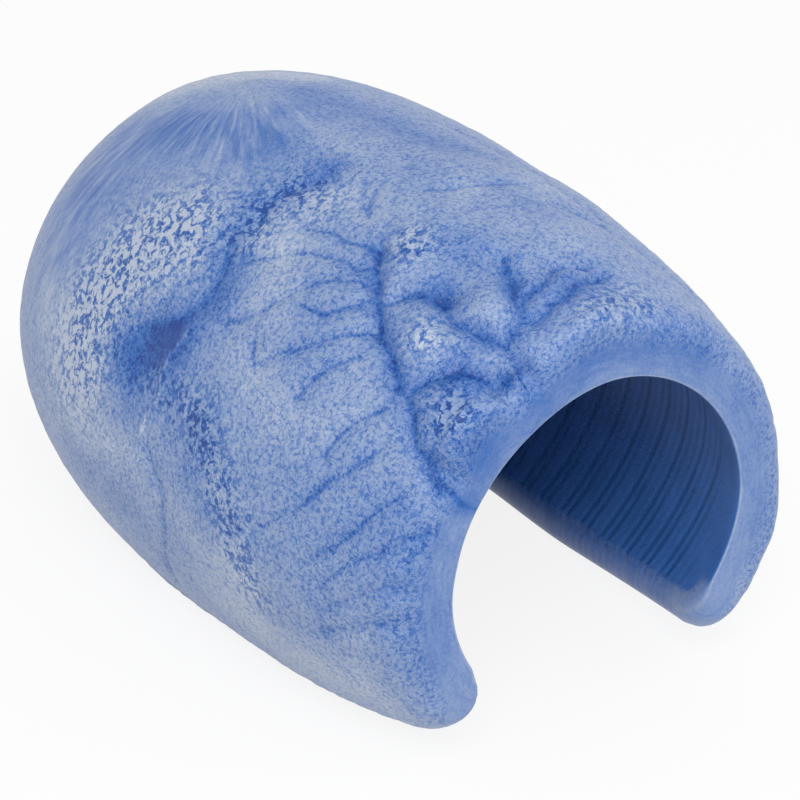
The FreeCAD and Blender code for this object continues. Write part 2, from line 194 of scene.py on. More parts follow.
# Place or line, spread, tone: below 0 is darker, the wash together with painted shade; above 0 is the dry
# brush.
TONES = [
    # painted shadow along the brow's edge, and the dark eye patch
    ([(-16, 4), (-22, 5), (-30, 8), (-36, 8), (-42, 5), (-47, 1), (-52, 1), (-60, 5)], 4.6, -1.1),
    ([(-66, 11), (-70, 17), (-73, 12), (-73, 2)], 5.0, -0.45), ([(-62, 8), (-69, 14)], 7.0, -1.0),
    ([(-66, 6), (-71, -3), (-74, -10)], 6.5, -0.6), ([(-70, 22), (-72, 13), (-66, 6)], 5.0, -0.45),
    ([(-80, 10), (-84, 20)], 4.0, -0.3),
    # below the eye: a painted shadow running down the cheek from the eye patch, and paler patches
    ([(-74, -10), (-78, -16), (-87, -23)], 6.0, -0.45), ([(-87, -23), (-98, -28), (-102, -30)], 4.0, -0.3),
    ([(-76, -11), (-84, -9)], 5.0, -0.3), ((-96, -46), 2.0, -0.5), ((-102, -46), 2.0, -0.5),
    ([(-100, 33), (-100, 23), (-102, 14)], 4.5, -0.4), ((-101, -4), 5.0, -0.35), ((-88, 17), 5.0, 0.4),
    ([(-97, 39), (-88, 16), (-94, 0), (-100, -16)], 8.0, 0.4),
    ([(-110, -21), (-117, -34), (-119, -49)], 11.0, 0.85), ((-99, -55), 6.0, 0.35),
    # forehead, temple and nose ridge
    ([(-60, 56), (-50, 58), (-39, 58), (-28, 52)], 9.0, -0.45), ((-43, 45), 7.0, -0.35),
    ([(-26, 48), (-21, 36), (-19, 20)], 6.5, -0.75), ([(-1, 35), (2, 24), (4, 10), (8, 0)], 5.5, -0.75),
    ([(13, -3), (16, -12)], 4.0, -0.5), ((-7, 27), 5.0, -0.55), ((-24, 42), 5.0, -0.2),
    ([(-46, 21), (-54, 30), (-63, 32), (-77, 40)], 10.0, 0.33), ([(-81, 28), (-73, 52)], 8.0, 0.6),
    ([(-9, 41), (-10, 23), (-11, 6)], 3.0, 0.25), ([(-11, 6), (-14, -9)], 4.0, 0.2),
    ([(-20, -6), (-18, -14)], 4.0, 0.3), ((-34, -4), 4.0, 0.5), ((-3, -8), 5.0, -0.3),
    ((18, -18), 7.0, 0.4), ((0, -20), 4.0, 0.4), ([(-14, 66), (-3, 57), (7, 45)], 6.0, 1.1),
    # snout, lips and chin, with painted shade in the nostril and along the mouth's line
    ((-24, -39), 3.5, -0.9), ((-35, -54), 4.5, -0.9), ((-14, -36), 6.0, -0.5), ((-13, -47), 3.5, -0.7),
    ((-2, -51), 3.5, -0.5), ((-53, -67), 8.0, -0.5), ([(-22, -62), (-10, -64)], 3.0, -0.3),
    ((-28, -52), 4.0, -0.3), ((8, -28), 4.0, -0.45), ((-20, -28), 5.0, 0.1), ((-20, -28), 5.5, -0.35),
    ((-34, -45), 3.5, 0.1), ((-22, -50), 3.5, 0.2), ((-43, -58), 6.0, -1.0), ((0, -47), 2.5, 0.4),
    ([(-5, -59), (8, -58)], 5.5, -0.15), ((3, -55), 5.0, -0.35), ((5, -41), 5.0, 0.45),
    # cheek
    ((-30, -24), 3.5, -0.6), ([(-36, -36), (-44, -46)], 3.0, -0.4), ((-47, -23), 6.0, -0.1),
    ([(-72, -36), (-62, -46)], 5.0, -0.25), ([(-80, -48), (-68, -56)], 5.0, -0.3),
    ([(-45, -11), (-38, -8)], 6.0, 0.5), ([(-60, -18), (-62, -30), (-61, -38)], 6.5, 0.45),
    # mouth's rim and the legs
    ([(-46, -68), (-20, -68), (10, -67), (30, -66)], 5.0, -0.85), ([(40, -67), (100, -67)], 7.0, -0.45),
    ([(-76, -64), (-90, -68), (-106, -67)], 8.0, -0.55), ([(129, -50), (129, 0), (130, 25)], 4.0, -0.8),
    # the side at +X and the rear
    ([(60, 40), (90, 10)], 14.0, 0.4), ((55, -10), 12.0, 0.3), ((0, 85), 14.0, 0.3),
    ((120, 70), 25.0, 0.3), ((-140, 70), 25.0, 0.3), ((60, 60), 12.0, -0.5), ((24, 2), 6.0, -0.3),
    ([(62, 10), (70, -8)], 7.0, -0.6), ([(30, 40), (44, 44)], 8.0, -0.5),
    ([(100, -30), (84, -44)], 8.0, -0.3),
]
# Where the brushed skin is coarse, like scales: place or line, spread, amount.
SCALES = [
    ([(-44, 20), (-54, 28), (-66, 32), (-78, 32)], 11.0, 1.0), ((-20, -27), 5.0, 0.9),
    ([(-26, 6), (-36, 4)], 6.0, 0.6), ((-33, -45), 4.5, 0.75), ((-43, -58), 5.0, 0.9),
    ([(-2, -60), (10, -58)], 5.0, 0.6), ([(-74, -12), (-86, -22), (-100, -28)], 6.0, 0.7),
    ([(-70, -4), (-72, 6)], 6.0, 0.5), ((-22, -2), 6.0, 0.6), ((60, 36), 18.0, 0.8), ((80, -12), 13.0, 0.6),
]
# Where the brush was drawn in streaks, and the place that the streaks run towards.
STREAKS = [([(-60, 54), (-48, 58), (-34, 56), (-24, 44), (-19, 28)], 13.0, 1.0)]
STREAK_FOCUS = (-5.0, 48.0)

# What each kind of line adds to the height: bells of a height and a half width, narrow and broad.
PROFILES = [
    (NOSE, [(1.1, 4.0)]), (EYELID, [(0.3, 1.2)]), (CREASES, [(-0.85, 1.2), (-0.75, 3.6)]),
    (BROW, [(-0.35, 1.5), (-0.5, 5.0)]), (WRINKLES, [(-0.25, 0.8), (-0.3, 2.4)]),
    (RIM_CRACKS, [(-0.06, 0.6)]),
]
WAVES = 26
WAVE_LENGTHS = (2.2, 6.0)
LEATHER = 0.012              # height of each wave
chance = np.random.default_rng(7)
wave_vectors = chance.normal(size=(WAVES, 3))
wave_numbers = 2 * np.pi / chance.uniform(*WAVE_LENGTHS, WAVES)
wave_vectors *= (wave_numbers / np.linalg.norm(wave_vectors, axis=1))[:, None]
wave_starts = chance.uniform(0, 2 * np.pi, WAVES)


def relief(angle, y, at):
    """Height in millimetres: swellings, the lines' bells, and a leathery unevenness that is a sum of
    plane waves 2 to 6 mm long in every direction."""
    height = total(angle, y, LUMPS) + LEATHER * np.cos(at @ wave_vectors.T + wave_starts).sum(-1)
    for lines, bells in PROFILES:
        gap = distance(angle, y, lines)
        height += sum(tall * np.exp(-(gap / width) ** 2) for tall, width in bells)
    return height


STEEPEST = 6.0               # steepest slope of the outline that the relief's direction follows
RELIEF_FADES = (60.0, 92.0)  # stations between which the relief dies away on the rear end


def outer_wall(angle, y):
    """Point of the outside: the egg's section, moved by the relief along the normal of its outline."""
    step = 0.05
    slope = (outer_radius(y + step) - outer_radius(y - step)) / (2 * step)
    slope = np.clip(slope, -STEEPEST, STEEPEST)
    x, z = section(angle, outer_radius(y))
    lift = relief(angle, y, np.stack([x, y, z], -1)) * (1 - smooth(*RELIEF_FADES, y))
    length = np.hypot(slope, 1)
    x = x + lift / length * np.sin(np.radians(angle))
    z = z + lift / length * np.cos(np.radians(angle))
    return np.stack([x, y - lift * slope / length, z], -1)


GROOVE_PITCH = 2.3
GROOVE_DEPTH = 0.3
GROOVE_LEAN = 0.13           # millimetres that a groove falls back for each degree from the top
GROOVE_WEAVE = 1.2           # how far it weaves to and fro on its way round
GROOVES_START = (-58.0, -50.0)
GROOVES_END = (20.0, 60.0)


def groove(angle, y):
    """Raised cosine squared across each groove, which leans and weaves as it runs round the cavity,
    times a slow sine that makes the grooves stronger and weaker by turns."""
    turn = y - GROOVE_LEAN * np.abs(angle) + GROOVE_WEAVE * np.sin(np.radians(angle * 2.3))
    wave = 0.5 + 0.5 * np.cos(2 * np.pi * turn / GROOVE_PITCH)
    swell = 0.6 + 0.4 * np.sin(turn * 0.9 + np.radians(angle) * 2)
    return wave ** 2 * swell * (1 - smooth(*GROOVES_END, y)) * smooth(*GROOVES_START, y)


THICKER = 0.9                # extra wall of the leg at -X, along THICK_LEG
THICK_LEG = [(-84, -60), (-130, -60)]
THICK_SPREAD = 14.0


def inner_wall(angle, y):
    """Point of the cavity: its section, less the extra wall, with the grooves of the core's tool."""
    extra = THICKER * stroke(angle, y, THICK_LEG, THICK_SPREAD)
    x, z = section(angle, inner_radius(y) + GROOVE_DEPTH * groove(angle, y) - extra)
    return np.stack([x, y, z], -1)


def spaced(low, high, count, density):
    """count values from low to high, closer together where density(value) is greater."""
    fine = np.linspace(low, high, 4001)
    sums = np.concatenate([[0], np.cumsum(density(fine[:-1]))])
    return np.interp(np.linspace(0, sums[-1], count), sums, fine)


COLUMNS, ROWS = 231, 131     # grid of the open front half
UNDER = 30                   # columns of each side below the rear, between the wall's end and the middle
OUTER_RINGS, INNER_RINGS = 58, 28
SAMPLES = 800                # stations at which the closing rim is worked out
CLOSING = 22.0               # how far behind TURN the rim has come down to the floor plane
LIP = 4.4                    # how far the mouth's rounded face stands in front of both walls
TIP = 3.0                    # rounding of the leg's front corner, along the wall
JAW_ROUND = 5.7              # about half the wall, so that the leg's lower edge is a full round
BASE_ROUND = 4.0             # edge rounding where the casting stands on its base
LONGER, SHORTER = 0.9, 0.2   # how much further the leg at -X reaches down, and the other less far


def bell(x, middle, width):
    """exp(-((x - middle) / width)^2)."""
    return np.exp(-((x - middle) / width) ** 2)


# Columns run from edge to edge, closer on the face and at both edges; rows are closer near the mouth.
side = spaced(-1, 1, COLUMNS, lambda s: 1 + 2.0 * bell(s, -0.26, 0.34) + 6 * bell(np.abs(s), 1, 0.04))
behind = spaced(0, 1, ROWS, lambda w: 1 + 1.1 * bell(w, 0.12, 0.45))
front = np.array(LIP - MOUTH)
tip_arc = np.radians(edge_angle(front)) * (1 - np.abs(side)) * outer_radius(front)


def front_half(wall, start):
    """Grid across from edge to edge and back from the mouth's curve to TURN: angle, y and point."""
    over = np.clip(TIP - tip_arc, 0, TIP)
    first = start + TIP - np.sqrt(TIP ** 2 - over ** 2)
    y = first[None, :] + (TURN - first[None, :]) * behind[:, None]
    angle = side[None, :] * edge_angle(y)
    return angle, y, wall(angle, y)


def wrapped(angle):
    """The same angle between -180 and 180 degrees."""
    return (angle + 180) % 360 - 180


def rear_half(wall, radius, end, rings):
    """Rings from the rim's curve to the rear end: angle, y and point. y goes as a sine, so that the
    rings crowd towards the end. Below, the rim goes over from the jaw's angle to the one at which the
    wall meets the floor plane, 180 degrees less arccos(drop / radius)."""
    y = np.linspace(TURN, end, SAMPLES)
    plane = 180 - np.degrees(np.arccos(np.clip((FLOOR_DROP - BASE_ROUND) / radius(y), -1, 1)))
    follow = smooth(TURN, TURN + CLOSING, y)
    rim = np.maximum.accumulate(edge_angle(TURN) * (1 - follow) + plane * follow)
    rim += np.linspace(0, 0.01, len(y))
    share = (np.arange(1, UNDER + 1) / UNDER) ** 2
    under = edge_angle(TURN) + (180 - edge_angle(TURN)) * share
    first = np.interp(under, rim, y)
    angle = np.concatenate([side * edge_angle(TURN), under, 360 - under[-2::-1]])
    start = np.concatenate([np.full(COLUMNS, TURN), first, first[-2::-1]])
    turn = np.arcsin(start / end)[None, :]
    y = end * np.sin(turn + (np.pi / 2 - turn) * np.linspace(0, 1, rings + 1)[:, None])
    angle = np.broadcast_to(wrapped(angle)[None, :], y.shape)
    return angle, y, wall(angle, y)


def grid_faces(index, closed):
    """Quads between neighbouring rows of a grid of vertex numbers; closed joins last to first."""
    a, b = index[:-1], index[1:]
    if closed:
        right_a, right_b = np.roll(a, -1, 1), np.roll(b, -1, 1)
    else:
        a, right_a = a[:, :-1], a[:, 1:]
        b, right_b = b[:, :-1], b[:, 1:]
    return np.stack([a, right_a, right_b, b], -1).reshape(-1, 4)


def shell_side(wall, radius, end, rings, first_number):
    """One face of the wall: points, their angles and stations, quads, the fan that closes the end,
    and the vertex numbers round the rim."""
    angle_a, y_a, at_a = front_half(wall, LIP - MOUTH)
    angle_b, y_b, at_b = rear_half(wall, radius, end, rings)
    index_a = first_number + np.arange(angle_a.size).reshape(angle_a.shape)
    columns = angle_b.shape[1]
    extra = first_number + angle_a.size + np.arange(columns - COLUMNS)
    rest = extra[-1] + 1 + np.arange((rings - 1) * columns).reshape(rings - 1, columns)
    index_b = np.vstack([np.concatenate([index_a[-1], extra])[None, :], rest])
    pole = rest[-1, -1] + 1
    points = np.concatenate([at_a.reshape(-1, 3), at_b[0, COLUMNS:], at_b[1:-1].reshape(-1, 3),
                             [[0, end, 0]]])
    angles = np.concatenate([angle_a.ravel(), angle_b[0, COLUMNS:], angle_b[1:-1].ravel(), [0]])
    stations = np.concatenate([y_a.ravel(), y_b[0, COLUMNS:], y_b[1:-1].ravel(), [end]])
    quads = np.concatenate([grid_faces(index_a, False), grid_faces(index_b, True)])
    last = index_b[-1]
    fan = np.stack([last, np.roll(last, -1), np.full(columns, pole)], -1)
    rim = np.concatenate([index_a[0], index_a[1:, -1], extra, index_a[:0:-1, 0]])
    return points, angles, stations, quads, fan, rim


outside = shell_side(outer_wall, outer_radius, HALF_LENGTH, OUTER_RINGS, 0)
inside = shell_side(inner_wall, inner_radius, INNER_END, INNER_RINGS, len(outside[0]))
points = np.concatenate([outside[0], inside[0]])
angles = np.concatenate([outside[1], inside[1]])
stations = np.concatenate([outside[2], inside[2]])
rim_out, rim_in = outside[5], inside[5]

# The rim's profile goes from the outer edge (1, 0) to the inner one (-1, 0), in shares of half the
# wall and of its stand: broad outside and tight inside at the mouth, round at the jaw, blunt below.
FULL = 0.8                   # power of the mouth's outer quarter: 1 is round, less is fuller
EDGE = 0.14                  # radius of the mouth's inner edge, as a share of half the wall
BLUNT = 0.6                  # power of the base's profile
QUARTER = np.radians(np.linspace(0, 90, 10))
CORNER = np.radians([30, 60, 90])
mouth_profile = np.concatenate([
    np.stack([np.cos(QUARTER) ** FULL, np.sin(QUARTER) ** FULL], -1),
    [[-0.5, 1.0], [EDGE - 1, 1.0]],
    np.stack([EDGE - 1 - EDGE * np.sin(CORNER), 1 - EDGE * (1 - np.cos(CORNER))], -1),
    [[-1.0, 0.45], [-1.0, 0.0]],
])
STEPS = len(mouth_profile)
half_turn = np.linspace(0, np.pi, STEPS)
jaw_profile = np.stack([np.cos(half_turn), np.sin(half_turn)], -1)
base_profile = np.sign(jaw_profile) * np.abs(jaw_profile) ** BLUNT

# Round the rim, from 0 to 1: round_end is how far the jaw's profile has taken over from the mouth's,
# sideways how far the rim looks along the wall instead of forwards, and based how far it is the base.
ROUND_FROM = 7.0             # distance from the leg's edge at which the mouth's profile starts to turn
BASE_FROM = -15.0            # station from which the jaw's edge flattens into the base
rim_count = len(rim_out)
rim_angle, rim_y = angles[rim_out], stations[rim_out]
place = np.arange(rim_count)
on_mouth = place < COLUMNS
round_end = np.ones(rim_count)
round_end[:COLUMNS] = 1 - smooth(0, ROUND_FROM, tip_arc)
sideways = np.ones(rim_count)
sideways[:COLUMNS] = np.clip((TIP - tip_arc) / TIP, 0, 1)
below_rear = (place >= COLUMNS + ROWS - 1) & (place < rim_count - ROWS + 1)
based = np.where(on_mouth, 0, 0.6 * smooth(BASE_FROM, TURN, rim_y))
based = np.where(below_rear, 0.6 + 0.4 * smooth(TURN, TURN + 30, rim_y), based)

# The rim looks forwards and a little inwards at the mouth, as the wall does, and down at the base.
hand = np.sign(rim_angle)
turned = np.radians(rim_angle)
across = np.stack([np.cos(turned) * hand, np.zeros(rim_count), -np.sin(turned) * hand], -1)
narrowing = (outer_radius(LIP - MOUTH) - outer_radius(-MOUTH)) / LIP
ahead_of_wall = np.stack([-narrowing * np.sin(turned), -np.ones(rim_count),
                          -narrowing * np.cos(turned)], -1)
outwards = across * sideways[:, None] + ahead_of_wall * np.sqrt(1 - sideways ** 2)[:, None]
outwards = outwards * (1 - based[:, None]) + np.array([0, 0, -1.0]) * based[:, None]
stand = (LIP + (JAW_ROUND - LIP) * round_end) * (1 - based) + BASE_ROUND * based
reach_down = np.where(rim_angle < 0, LONGER, -SHORTER) * smooth(-10, -48, rim_y)
stand += reach_down * round_end * (1 - based)
profile = ((1 - round_end) * (1 - based))[:, None, None] * mouth_profile
profile += (round_end * (1 - based))[:, None, None] * jaw_profile
profile += based[:, None, None] * base_profile
middle = (points[rim_out] + points[rim_in]) / 2
half = (points[rim_out] - points[rim_in]) / 2
rim_grid = middle[:, None] + half[:, None] * profile[..., :1]
rim_grid += outwards[:, None] * (stand[:, None] * profile[..., 1])[..., None]

# The relief carries on over the mouth's rim along the rim's own normals, and dies away inwards.
RIM_FADE = (4.5, 9.5)        # millimetres from the outer edge, measured round the profile
run = np.linalg.norm(np.diff(rim_grid, axis=1), axis=-1).cumsum(1)
run = np.concatenate([np.zeros((rim_count, 1)), run], 1)
rim_station = rim_y[:, None] - run * np.sqrt(1 - sideways ** 2)[:, None] * on_mouth[:, None]
rim_angles = np.repeat(rim_angle[:, None], STEPS, 1)
around = np.roll(rim_grid, -1, 0) - np.roll(rim_grid, 1, 0)
normal = np.cross(np.gradient(rim_grid, axis=1), around)
normal /= np.maximum(np.linalg.norm(normal, axis=-1), 1e-9)[..., None]
fade = (1 - smooth(*RIM_FADE, run)) * (on_mouth * (1 - 0.7 * round_end))[:, None]
rim_lift = relief(rim_angles, rim_station, rim_grid) * fade
rim_grid[:, 1:-1] += (normal * rim_lift[..., None])[:, 1:-1]

rim_rows = [rim_out]
for step in range(1, STEPS - 1):
    rim_rows.append(len(points) + place)
    points = np.concatenate([points, rim_grid[:, step]])
    angles = np.concatenate([angles, rim_angle])
    stations = np.concatenate([stations, rim_station[:, step]])
rim_rows.append(rim_in)
rim_faces = grid_faces(np.array(rim_rows), True)[:, ::-1]

# Where the paint is: none in the cavity, which starts inside the mouth's inner edge; smoother on the
# rim; and a painted highlight, a pale line along that edge.
INNER_RADIUS = 44.0          # about the cavity's, to turn degrees into millimetres
cavity, on_rim, glint = np.zeros((3, len(points)))
inner_numbers = np.arange(len(outside[0]), len(outside[0]) + len(inside[0]))
to_edge = edge_angle(stations[inner_numbers]) - np.abs(angles[inner_numbers])
to_edge = np.radians(to_edge) * INNER_RADIUS
bare_behind = smooth(TURN - 6, TURN + 10, stations[inner_numbers])
cavity[inner_numbers] = np.maximum(smooth(-4, 1, to_edge), bare_behind)
for step, numbers in enumerate(rim_rows[1:-1], 1):
    on_rim[numbers] = 1 - smooth(0.0, 0.5, fade[:, step])
    share = smooth(STEPS - 5.5, STEPS - 4, step)
    cavity[numbers] = np.where(on_mouth, share * (1 - round_end), 0)
    glint[numbers] = np.where(on_mouth, 4 * share * (1 - share) * (1 - 0.5 * round_end), 0)

# Nothing stands past the floor, the top, the sides or the mouth's plane.
points[:, 2] = np.clip(points[:, 2], -FLOOR_DROP, hood_high.z / MM - FLOOR_DROP)
widest = hood_high.x / MM
points[:, 0] = np.clip(points[:, 0], -widest, widest)
points[:, 1] = np.maximum(points[:, 1], -MOUTH)

marks = {
    "crease": distance(angles, stations, CREASES),
    "brow": distance(angles, stations, BROW),
    "wrinkle": distance(angles, stations, WRINKLES),
    "crack": distance(angles, stations, RIM_CRACKS),
    "eyelid": distance(angles, stations, EYELID),
    "tone": total(angles, stations, TONES),
    "scales": np.clip(total(angles, stations, SCALES), 0, 1),
    "streaks": np.clip(total(angles, stations, STREAKS), 0, 1),
    "groove": groove(angles, stations),
    "cavity": cavity,
    "rim": on_rim,
    "glint": glint,
}
hood_faces = np.concatenate([outside[3], rim_faces]).tolist() + outside[4].tolist()
hood_faces += inside[3][:, ::-1].tolist() + inside[4][:, ::-1].tolist()

hood_mesh = bpy.data.meshes.new("hood_casting")
hood_mesh.from_pydata(((points + MIDDLE) * MM).tolist(), [], hood_faces)
corners = np.zeros(len(hood_mesh.loops), np.int32)
hood_mesh.loops.foreach_get("vertex_index", corners)
for name, values in marks.items():
    layer = hood_mesh.attributes.new(name, "FLOAT", "CORNER")
    layer.data.foreach_set("value", values[corners].astype(np.float32))

# Two maps for the brush marks: fan is the turn round the streaks' focus by a tenth of the distance from
# it, and wrap is the turn round the egg by the station.
FAN_RADIUS, WRAP_RADIUS = 0.02, 0.05
focus_u = (angles - STREAK_FOCUS[0]) * reach_at(stations)
focus_v = stations - STREAK_FOCUS[1]
fan_map = np.stack([np.arctan2(focus_v, -focus_u) * FAN_RADIUS, np.hypot(focus_u, focus_v) * 0.1 * MM], -1)
wrap_map = np.stack([np.radians(angles) * WRAP_RADIUS, stations * MM], -1)
for name, plan in (("fan", fan_map), ("wrap", wrap_map)):
    layer = hood_mesh.uv_layers.new(name=name)
    layer.data.foreach_set("uv", plan[corners].astype(np.float32).ravel())
hood_mesh.polygons.foreach_set("use_smooth", np.ones(len(hood_mesh.polygons), bool))
hood_mesh.update()
hood = bpy.data.objects.new("hood_casting", hood_mesh)
bpy.context.scene.collection.objects.link(hood)

# A core pin leaves the bore for the bush. It is cut out of the mesh, which keeps its marks and maps.
BORE = 9.6                   # the bore's radius
BORE_RUN = 14.0              # how far the pin stands past both ends of the bush
PIN_SIDES = 96
SHARP = math.radians(62)     # edges that turn more than this are shaded sharp
bush_low, bush_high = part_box("inlet_bush")
pin_turn = np.linspace(0, 2 * np.pi, PIN_SIDES, endpoint=False)
pin_ring = np.stack([BORE * MM * np.cos(pin_turn), 0 * pin_turn, BORE * MM * np.sin(pin_turn)], -1)
pin_ends = [[0, end, (bush_low.z + bush_high.z) / 2] for end in (bush_low.y - BORE_RUN * MM,
                                                                 bush_high.y + BORE_RUN * MM)]
pin_points = np.concatenate([pin_ring + pin_ends[0], pin_ring + pin_ends[1]])
pin_index = np.arange(2 * PIN_SIDES).reshape(2, PIN_SIDES)
pin_faces = grid_faces(pin_index, True)[:, ::-1].tolist()
pin_faces += [pin_index[0].tolist(), pin_index[1, ::-1].tolist()]
pin_mesh = bpy.data.meshes.new("bore_pin")
pin_mesh.from_pydata(pin_points.tolist(), [], pin_faces)
pin = bpy.data.objects.new("bore_pin", pin_mesh)
bpy.context.scene.collection.objects.link(pin)
bore = hood.modifiers.new("bore", "BOOLEAN")
bore.operation, bore.object, bore.solver = "DIFFERENCE", pin, "EXACT"
hood_mesh = bpy.data.meshes.new_from_object(hood.evaluated_get(bpy.context.evaluated_depsgraph_get()))
hood.modifiers.clear()
hood.data = hood_mesh
bpy.data.objects.remove(pin)
hood_mesh.set_sharp_from_angle(angle=SHARP)


class Wire:
    """A shader socket in Python arithmetic: each operation on values adds one Math node."""

    def __init__(self, finish, socket):
        self.finish, self.socket = finish, socket

    def math(self, operation, first, second=0.0):
        return self.finish.node("Math", {"operation": operation}, {0: first, 1: second})

    def __add__(self, other):
        return self.math("ADD", self, other)

    def __sub__(self, other):
        return self.math("SUBTRACT", self, other)

    def __rsub__(self, other):
        return self.math("SUBTRACT", other, self)

    def __mul__(self, other):
        return self.math("MULTIPLY", self, other)

    def __pow__(self, other):
        return self.math("POWER", self, other)

    __radd__, __rmul__ = __add__, __mul__

    def rise(self, low, high):
        """0 at low, 1 at high, smooth between; falls instead if low is above high."""
        return self.finish.node("MapRange", {"interpolation_type": "SMOOTHSTEP"},
                                {0: self, 1: low, 2: high, 3: 0.0, 4: 1.0})


class Finish:
    """A material and its nodes. Everything goes through node()."""

    def __init__(self, name, constants):
        self.material = bpy.data.materials.new(name)
        self.material.use_nodes = True
        self.tree = self.material.node_tree
        self.shader = self.tree.nodes["Principled BSDF"]
        for key, value in constants.items():
            self.shader.inputs[key].default_value = value

    def node(self, kind, settings, inputs, output=0):
        """Adds a node: its settings, then its inputs by name or number; gives one of its outputs."""
        made = self.tree.nodes.new("ShaderNode" + kind)
        for key, value in settings.items():
            if key == "stops":
                while len(made.color_ramp.elements) < len(value):
                    made.color_ramp.elements.new(1.0)
                for element, (at, tint) in zip(made.color_ramp.elements, value):
                    element.position, element.color = at, tint
            else:
                setattr(made, key, value)
        for key, value in inputs.items():
            if isinstance(value, Wire):
                self.tree.links.new(value.socket, made.inputs[key])
            else:
                made.inputs[key].default_value = value
        return Wire(self, made.outputs[output])

    def attribute(self, name):
        return self.node("Attribute", {"attribute_name": name}, {}, "Fac")

    def place(self):
        return self.node("TexCoord", {}, {}, "Object")

    def noise(self, where, scale, detail=2.0, roughness=0.5, distortion=0.0):
        return self.node("TexNoise", {}, {"Vector": where, "Scale": scale, "Detail": detail,
                                          "Roughness": roughness, "Distortion": distortion}, 0)

    def winding(self, where, scale, width, distortion):
        """0 along thin winding lines, where a noise passes its middle, and 1 between them."""
        gap = self.noise(where, scale, 1.5, 0.5, distortion) - 0.5
        return gap.math("ABSOLUTE", gap).rise(0.0, width)

    def clamp(self, wire):
        return self.node("Clamp", {}, {0: wire})

    def blend(self, factor, first, second):
        """Colour between two colours."""
        return self.node("Mix", {"data_type": "RGBA"}, {0: factor, 6: first, 7: second}, 2)

    def bump(self, height, distance, strength=1.0):
        return self.node("Bump", {}, {"Height": height, "Distance": distance, "Strength": strength})

    def feed(self, socket, wire):
        self.tree.links.new(wire.socket, self.shader.inputs[socket])


def colour(red, green, blue):
    """A colour written in screen values from 0 to 255, as linear light."""
    parts = [((c / 255 + 0.055) / 1.055) ** 2.4 if c > 10 else c / 3294 for c in (red, green, blue)]
    return (*parts, 1.0)


def hood_finish():
    """Blue resin: one value picks the colour, from the wash and painted shade to dry-brushed paint and a
    painted highlight.
    """
    paint = Finish("resin_blue_wash_and_painted_shade", {"Specular IOR Level": 0.36, "Coat Weight": 0.08,
                                       "Coat Roughness": 0.35})
    where = paint.place()
    tone = paint.attribute("tone")
    scales = paint.attribute("scales")
    streaks = paint.attribute("streaks")
    cavity = paint.attribute("cavity")
    rim = paint.attribute("rim")
    large = paint.noise(where, 720, 3.0, 0.62, 0.5).rise(0.38, 0.56)
    small = paint.noise(where, 1250, 3.0, 0.62, 0.4).rise(0.36, 0.54)
    vein = paint.winding(where, 640, 0.05, 0.8)
    fine = paint.noise(where, 2100, 2.0, 0.6, 0.3)
    patch = paint.noise(where, 95, 3.0, 0.55)
    cloud = paint.noise(where, 240, 2.0, 0.5)
    fan = paint.node("UVMap", {"uv_map": "fan"}, {}, "UV")
    wrap = paint.node("UVMap", {"uv_map": "wrap"}, {}, "UV")
    wrap = paint.node("VectorMath", {"operation": "MULTIPLY"}, {0: wrap, 1: (0.16, 1.0, 1.0)})
    ray = paint.noise(fan, 900, 3.0, 0.65)
    brushed = paint.noise(wrap, 900, 3.0, 0.6)
    waver = (cloud - 0.5) * 1.2
    # Dark lines along the creases, wrinkles and cracks. Painted shade: shade and wrinkle_shade beside the
    # creases and wrinkles, brow along the brow's edge.
    crease = (paint.attribute("crease") + waver).rise(1.05, 0.0) * (0.4 + patch)
    shade = (paint.attribute("crease") + waver * 2).rise(4.2, 0.4)
    brow = (paint.attribute("brow") + waver * 2).rise(2.2, 0.2)
    wrinkle = (paint.attribute("wrinkle") + waver * 0.5).rise(0.62, 0.0) * (0.35 + patch)
    wrinkle_shade = (paint.attribute("wrinkle") + waver).rise(2.4, 0.2)
    crack = (paint.attribute("crack") + waver * 0.4).rise(0.5, 0.05)
    eyelid = paint.attribute("eyelid").rise(0.9, 0.1)
    calm = 1 - paint.clamp(rim * 0.75 + streaks * 0.85)
    grain = (large - 0.58) * scales * 0.95
    grain = grain + (small - 0.7) * (0.27 - scales * 0.1) * calm
    grain = grain + (vein - 0.85) * 0.2 * calm + (fine - 0.5) * (0.2 * calm + 0.12)
    grain = grain + (ray - 0.5) * streaks * 1.3 + (brushed - 0.5) * rim * 0.35
    value = 0.63 + tone * 0.26 + grain + (patch - 0.5) * 0.22 + (cloud - 0.5) * 0.12
    value = value - crease * 0.27 - shade * 0.15 - brow * 0.12 - crack * 0.16
    value = value - wrinkle * 0.36 - wrinkle_shade * 0.07 + eyelid * 0.3
    # A painted highlight: a pale line along the mouth's inner edge.
    value = value + paint.attribute("glint") * 0.3
    stops = [(0.0, colour(2, 56, 132)), (0.22, colour(36, 92, 166)), (0.42, colour(78, 112, 172)),
             (0.58, colour(107, 133, 182)), (0.78, colour(138, 156, 188)), (1.0, colour(172, 182, 202))]
    painted = paint.node("ValToRGB", {"stops": stops}, {0: value})
    # The bare cavity, darker in the grooves' hollows as painted shade.
    inner_tone = paint.clamp(patch * 0.9 + 0.1 - paint.attribute("groove") * 0.8 + (fine - 0.5) * 0.4)
    bare = paint.blend(inner_tone, colour(30, 82, 142), colour(72, 122, 198))
    paint.feed("Base Color", paint.blend(cavity ** 3.0, painted, bare))
    paint.feed("Roughness", 0.42 + (fine - 0.5) * 0.2 + cavity * 0.15)
    paint.feed("Normal", paint.bump(value + fine * 0.15, 0.00016, 0.8))
    return paint.material


hood_mesh.materials.append(hood_finish())
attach(hood, "hood")
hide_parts("hood")

# ---- Inlet bush: black glass-filled nylon, injection moulded, and bonded into the bore behind.
# ---- Its skin is smooth and a little cloudy, with flow lines that run round from the gate.


def dress(node_name, finish):
    """Gives a CAD node one material."""
    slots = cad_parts[node_name].data.materials
    slots.clear()
    slots.append(finish.material)


